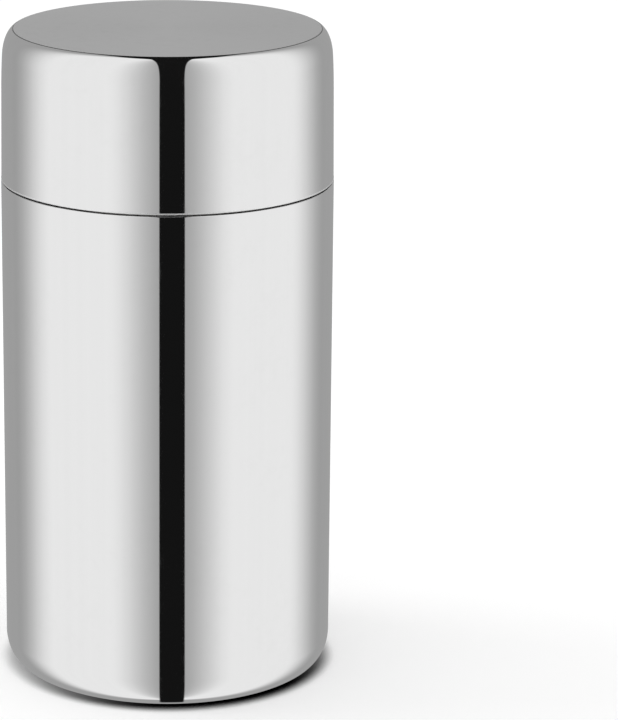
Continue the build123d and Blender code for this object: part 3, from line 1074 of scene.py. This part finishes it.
@dataclass
class InnerLid:
    """The plug lid with its seal, brackets, bail and valve."""

    spring_turns: int = 5
    spring_wire: float = 0.3 * MM
    coil_steps: int = 48
    wire_steps: int = 12

    def spring(self) -> bpy.types.Object:
        """Build the valve spring as one round wire wound round the stem.

        Returns:
            The spring.
        """
        low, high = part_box("valve_spring")
        mean = (high.y - low.y) / 2 - self.spring_wire
        bottom, top = low.z + self.spring_wire, high.z - self.spring_wire
        total = self.spring_turns * self.coil_steps
        vertices, faces = [], []
        for step in range(total + 1):
            turn = FULL_TURN * step / self.coil_steps
            height = bottom + (top - bottom) * step / total
            for side in range(self.wire_steps):
                angle = FULL_TURN * side / self.wire_steps
                reach = mean + self.spring_wire * math.cos(angle)
                vertices.append((reach * math.cos(turn), reach * math.sin(turn),
                                 height + self.spring_wire * math.sin(angle)))
        for step in range(total):
            for side in range(self.wire_steps):
                first = step * self.wire_steps + side
                second = step * self.wire_steps + (side + 1) % self.wire_steps
                faces.append((first, second, second + self.wire_steps, first + self.wire_steps))
        faces.append(tuple(reversed(range(self.wire_steps))))
        faces.append(tuple(range(total * self.wire_steps, (total + 1) * self.wire_steps)))
        return mesh_object("closing_spring", vertices, faces)

    def build(self, dresser: Dresser) -> None:
        """Make and dress the inner lid's pieces.

        Args:
            dresser: gives the finishes.
        """
        dresser.cad(Slot.SATIN, "inner_lid_pan")
        dresser.cad(Slot.PLASTIC, "plug_ring", "bail_bracket_left", "bail_bracket_right", "valve_seat",
                    "valve_guard")
        dresser.cad(Slot.SILICONE, "lip_seal", "pan_gasket", "seat_gasket", "valve_disc")
        dresser.cad(Slot.TURNED, "bracket_screws", "seat_nut", "filter_screen", "valve_stem", "valve_knob",
                    "spring_washer", "stem_clip", "bail_handle")
        spring = dresser.piece(self.spring(), Slot.TURNED, None, "valve_spring")
        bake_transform(spring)


@dataclass
class Surround:
    """What the polished metal shows, by direction: one soft panel on either side and a dark gap between.

    Bearing is the angle from the front round the axis, elevation the angle over the horizon, and pitch
    the angle from the front up over the top to the back.
    """

    # The whole surround stands turned a little to the right of the front.
    lean: float = 3.15
    # Pale panels in a greyer room, full from diagonally ahead to the side and as soft on either edge.
    panel_grey: float = 0.9
    room_grey: float = 0.6
    panel_near: Band = Band(0.0, 45.0)
    panel_far: Band = Band(135.0, 90.0)
    # Faint upright streaks.
    stripe_grey: float = 0.02
    stripe_scale: float = 0.16
    stripe_slope: float = 0.02
    stripes: Octaves = Octaves(3.0, 0.6)
    # Dark gap in front, which widens overhead and narrows towards the back underneath.
    gap_half: float = 0.1455
    gap_edge: float = 0.006
    gap_blur: float = 0.044
    gap_flare: float = 0.13
    gap_flare_starts: Band = Band(80.0, 97.0)
    gap_ends: Band = Band(140.0, 124.0)
    gap_behind: Band = Band(-124.0, -108.0)
    gap_slant: float = 0.95
    gap_grey: float = 0.1
    # From display grey to light, for metal that gives back this share of it.
    display_power: float = 2.2
    metal_share: float = 0.9

    def draw(self, sheet: NodeSheet) -> Socket:
        """Draw the surround.

        Args:
            sheet: the world's nodes.

        Returns:
            Its light level.
        """
        direction = sheet.add("TexCoord").outputs["Generated"]
        east, north, up = sheet.split(direction)
        lean = math.radians(self.lean)
        side = sheet.maths("ADD", sheet.maths("MULTIPLY", east, math.cos(lean)),
                           sheet.maths("MULTIPLY", north, math.sin(lean)))
        ahead = sheet.maths("SUBTRACT", sheet.maths("MULTIPLY", east, math.sin(lean)),
                            sheet.maths("MULTIPLY", north, math.cos(lean)))
        elevation = sheet.maths("DEGREES", sheet.maths("ARCSINE", up))
        pitch = sheet.maths("DEGREES", sheet.maths("ARCTAN2", up, ahead))
        leaned = sheet.maths("DEGREES", sheet.maths("ARCTAN2", side, ahead))
        grey = self.panels(sheet, sheet.maths("ABSOLUTE", leaned))
        slope = sheet.maths("MULTIPLY", elevation, self.stripe_slope)
        stripes = sheet.add("CombineXYZ", {0: leaned, 1: slope}).outputs[0]
        stripe = sheet.maths("SUBTRACT", sheet.noise(stripes, self.stripe_scale, self.stripes), MIDDLE)
        grey = sheet.maths("MULTIPLY_ADD", stripe, self.stripe_grey, grey)
        mask = self.gap(sheet, side, ahead, pitch)
        grey = sheet.maths("MAXIMUM", sheet.mixed(mask, grey, self.gap_grey), 0.0)
        return sheet.maths("DIVIDE", sheet.maths("POWER", grey, self.display_power), self.metal_share)

    def panels(self, sheet: NodeSheet, bearing: Socket) -> Socket:
        """Grey of the soft panels and of the room beside them.

        Args:
            sheet: the world's nodes.
            bearing: degrees to either side of the front.

        Returns:
            The grey.
        """
        near, far = sheet.step(bearing, self.panel_near), sheet.step(bearing, self.panel_far)
        return sheet.mixed(sheet.maths("MULTIPLY", near, far), self.room_grey, self.panel_grey)

    def gap(self, sheet: NodeSheet, side: Socket, ahead: Socket, pitch: Socket) -> Socket:
        """Draw the dark gap between the panels.

        Args:
            sheet: the world's nodes.
            side: the direction's share across the gap.
            ahead: its share to the front.
            pitch: degrees from the front up over the top.

        Returns:
            The gap's mask.
        """
        flare = sheet.step(pitch, self.gap_flare_starts)
        half = sheet.maths("MULTIPLY_ADD", flare, self.gap_flare, self.gap_half)
        edge = sheet.maths("MULTIPLY_ADD", flare, self.gap_blur, self.gap_edge)
        shift = sheet.maths("MULTIPLY", sheet.maths("SUBTRACT", self.gap_slant, ahead),
                            math.sin(math.radians(self.lean)) / 2)
        side = sheet.maths("ABSOLUTE", sheet.maths("SUBTRACT", side, shift))
        slant = sheet.maths("DIVIDE", sheet.maths("ADD", ahead, self.gap_slant), 2 * self.gap_slant)
        slant = sheet.maths("MAXIMUM", sheet.maths("MINIMUM", slant, 1.0),
                            sheet.maths("GREATER_THAN", pitch, 0.0))
        half = sheet.maths("MULTIPLY", half, slant)
        inside = sheet.rise(side, sheet.maths("ADD", half, edge), sheet.maths("SUBTRACT", half, edge))
        return sheet.chain("MULTIPLY", inside, sheet.step(pitch, self.gap_ends),
                           sheet.step(pitch, self.gap_behind))


@dataclass
class Studio:
    """Plain floor, soft lamp and the surround that the polished metal shows."""

    surround: Surround
    # Plain light from below and from above, and the level that the camera sees.
    low_level: float = 0.30
    high_level: float = 1.0
    level_rise: Band = Band(0.0, 0.55)
    camera_level: float = 1.0
    # The floor, its faint specks, and the painted shadow that darkens it close to the object's foot, deepest
    # on one side.
    floor_size: float = 14.0
    floor_grey: float = 0.95
    floor_roughness: float = 0.9
    floor_glow: float = 0.12
    speck_grey: float = 0.004
    speck_scale: float = 30.0
    specks: Octaves = Octaves(3.0)
    contact_reach: float = 5.6 * MM
    contact_rays: int = 12
    contact: Band = Band(0.92, 0.30)
    contact_side: tuple[float, float, float] = (0.42, -0.91, 0.0)
    contact_turn: Band = Band(-0.1, 0.9)
    contact_least: float = 0.5
    # The lamp, in metres and watts.
    lamp_place: tuple[float, float, float] = (-0.75, 0.15, 0.75)
    lamp_aim: tuple[float, float, float] = (0.0, 0.0, 0.05)
    lamp_size: float = 0.5
    lamp_watts: float = 1.6

    def build_world(self) -> None:
        """Set the world: the surround for reflections, plain levels for the rest."""
        world = bpy.data.worlds.new("studio_surround")
        world.use_nodes = True
        world.node_tree.nodes.clear()
        sheet = NodeSheet(world.node_tree)
        path = sheet.add("LightPath").outputs
        shown = sheet.add("Background", {"Color": self.surround.draw(sheet), "Strength": 1.0})
        up = sheet.split(sheet.add("TexCoord").outputs["Generated"])[2]
        fill = sheet.spread(sheet.step(up, self.level_rise), self.low_level, self.high_level)
        plain = sheet.add("Background", {"Color": WHITE, "Strength": fill})
        pale = sheet.add("Background", {"Color": WHITE, "Strength": self.camera_level})
        mirror = sheet.maths("MAXIMUM", path["Is Glossy Ray"], path["Is Transmission Ray"])
        first = sheet.add("MixShader", {0: mirror, 1: plain.outputs[0], 2: shown.outputs[0]})
        second = sheet.add("MixShader", {0: path["Is Camera Ray"], 1: first.outputs[0], 2: pale.outputs[0]})
        sheet.add("OutputWorld", {"Surface": second.outputs[0]})
        bpy.context.scene.world = world

    def painted_shadow_share(self, sheet: NodeSheet, place: Socket) -> Socket:
        """Share of the floor's colour and glow that the painted shadow leaves close to the object's foot.

        Args:
            sheet: the floor's nodes.
            place: the place on the floor.

        Returns:
            The share, least on the side that contact_side points to.
        """
        near = sheet.add("AmbientOcclusion", {"Distance": self.contact_reach}, samples=self.contact_rays)
        ahead = sheet.add("VectorMath", {0: place}, operation="NORMALIZE").outputs[0]
        across = sheet.add("VectorMath", {0: ahead, 1: self.contact_side}, operation="DOT_PRODUCT")
        depth = sheet.spread(sheet.step(across.outputs["Value"], self.contact_turn), self.contact_least, 1.0)
        close = sheet.step(near.outputs["AO"], self.contact)
        return sheet.rest(sheet.maths("MULTIPLY", close, depth))

    def build_floor(self) -> None:
        """Lay the plain pale floor that keeps the object's shadow, with a painted shadow darkening its
        colour and glow near the foot.
        """
        half = self.floor_size / 2
        corners = [(-half, -half, 0.0), (half, -half, 0.0), (half, half, 0.0), (-half, half, 0.0)]
        mesh = bpy.data.meshes.new("pale_floor")
        mesh.from_pydata(corners, [], [(0, 1, 2, 3)])
        floor = bpy.data.objects.new("pale_floor", mesh)
        bpy.context.scene.collection.objects.link(floor)
        material, sheet, shader = new_material("pale_floor")
        place = sheet.place()
        speck = sheet.spread(sheet.noise(place, self.speck_scale, self.specks),
                             self.floor_grey - self.speck_grey, self.floor_grey + self.speck_grey)
        # Painted shadow: ambient occlusion near the foot, deeper towards contact_side, darkens the floor's
        # colour and glow.
        light = self.painted_shadow_share(sheet, place)
        sheet.feed(shader.inputs["Base Color"], sheet.maths("MULTIPLY", speck, light))
        shader.inputs["Roughness"].default_value = self.floor_roughness
        shader.inputs["Specular IOR Level"].default_value = 0.0
        shader.inputs["Emission Color"].default_value = WHITE
        seen = sheet.add("LightPath").outputs["Is Camera Ray"]
        glow = sheet.maths("MULTIPLY", seen, sheet.maths("MULTIPLY", light, self.floor_glow))
        sheet.feed(shader.inputs["Emission Strength"], glow)
        mesh.materials.append(material)
        floor.visible_glossy = False

    def build_lamp(self) -> None:
        """Hang one broad soft lamp up on the left, which puts the shadow on the right."""
        data = bpy.data.lights.new("soft_lamp", "AREA")
        data.shape = "DISK"
        data.size = self.lamp_size
        data.energy = self.lamp_watts
        lamp = bpy.data.objects.new("soft_lamp", data)
        lamp.location = self.lamp_place
        aim = Vector(self.lamp_aim) - Vector(self.lamp_place)
        lamp.rotation_euler = aim.to_track_quat("-Z", "Y").to_euler()
        lamp.visible_glossy = False
        bpy.context.scene.collection.objects.link(lamp)

    def build(self) -> None:
        """Build the whole studio."""
        self.build_world()
        self.build_floor()
        self.build_lamp()


@dataclass
class PhotoCamera:
    """Camera at the photograph's viewing angle, for an image of 618 by 720."""

    image: tuple[int, int] = (618, 720)
    elevation_degrees: float = 15.62
    distance: float = 1.043
    target_height: float = 0.096
    focal_pixels: float = 3565.4
    axis_pixel: tuple[float, float] = (167.5, 343.0)
    sensor: float = 36.0

    def build(self) -> None:
        """Create the camera and make it the scene's."""
        long_side = max(self.image)
        data = bpy.data.cameras.new("photo_camera")
        data.sensor_width = self.sensor
        data.lens = self.focal_pixels / long_side * self.sensor
        data.shift_x = (self.image[0] / 2 - self.axis_pixel[0]) / long_side
        data.shift_y = (self.axis_pixel[1] - self.image[1] / 2) / long_side
        camera = bpy.data.objects.new("photo_camera", data)
        bpy.context.scene.collection.objects.link(camera)
        rise = math.radians(self.elevation_degrees)
        back = Vector((0.0, -math.cos(rise), math.sin(rise)))
        camera.location = Vector((0.0, 0.0, self.target_height)) + back * self.distance
        camera.rotation_euler = (-back).to_track_quat("-Z", "Y").to_euler()
        bpy.context.scene.camera = camera


def main() -> None:
    """Build every class in order and report each piece."""
    logging.basicConfig(level=logging.INFO, format="%(message)s")
    bpy.context.scene.view_settings.view_transform = "Standard"
    dresser = Dresser(Effects.build())
    PhotoCamera().build()
    Canister().build(dresser)
    OuterLid().build(dresser)
    InnerLid().build(dresser)
    Studio(Surround()).build()


if __name__ == "__main__":
    main()
